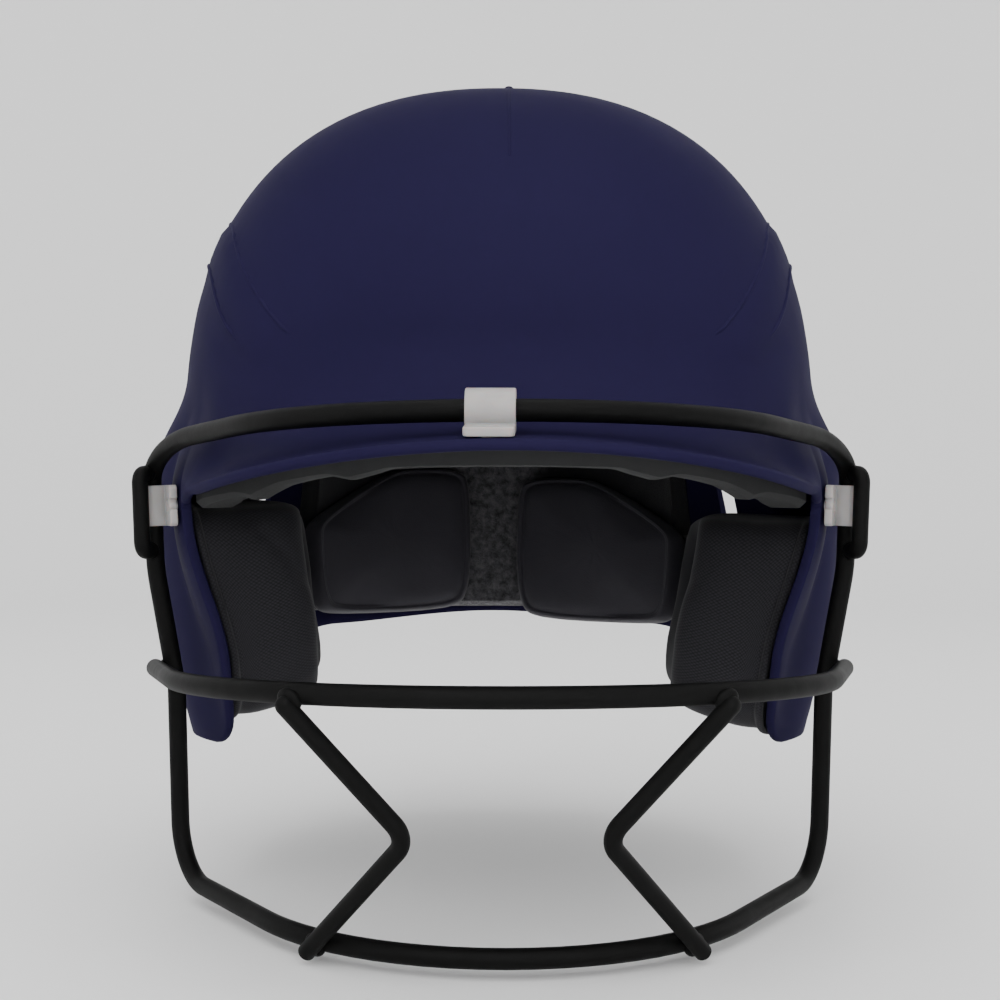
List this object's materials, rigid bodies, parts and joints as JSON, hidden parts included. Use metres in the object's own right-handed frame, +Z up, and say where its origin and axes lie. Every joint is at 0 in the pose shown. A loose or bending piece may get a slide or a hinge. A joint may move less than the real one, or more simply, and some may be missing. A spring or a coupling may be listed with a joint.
{
  "type": "softball helmet with face cage",
  "caption": "Navy batting helmet with bill, ear flaps and padding, and a black wire face cage clipped on in front.",
  "frame": {"origin": "midway between the wearer's ears in X, level with the middle of the two temple clips, under the crown", "axes": "+X to the right of a viewer who faces the cage, +Y to the back of the head, +Z up"},
  "size_m": [0.2424, 0.314, 0.2746],
  "materials": {
    "shell_plastic": "satin, moulded in navy",
    "foam": "matt closed-cell foam",
    "loop_fabric": "brushed loop fabric",
    "pad_fabric": "smooth knit over foam, welded seam",
    "ear_knit": "mesh knit over foam, piped edge",
    "coated_wire": "satin black vinyl dip on steel wire",
    "nylon": "milky natural nylon",
    "steel": "zinc plated"
  },
  "bodies": {
    "root": {"shell": "shell_plastic", "brow_pad": "foam", "side_liner_left": "foam", "side_liner_right": "foam", "nape_liner": "loop_fabric", "crown_pad": "foam", "back_pad_left": "pad_fabric", "back_pad_right": "pad_fabric", "ear_pad_left": "ear_knit", "ear_pad_right": "ear_knit", "pad_patches": "loop_fabric", "brow_hoop": "coated_wire", "chin_bar": "coated_wire", "middle_bar": "coated_wire", "cheek_bar_left": "coated_wire", "cheek_bar_right": "coated_wire", "temple_loop_left": "coated_wire", "temple_loop_right": "coated_wire", "bill_clip": "nylon", "temple_clip_left": "nylon", "temple_clip_right": "nylon", "clip_screws": "steel"}
  },
  "joints": []
}
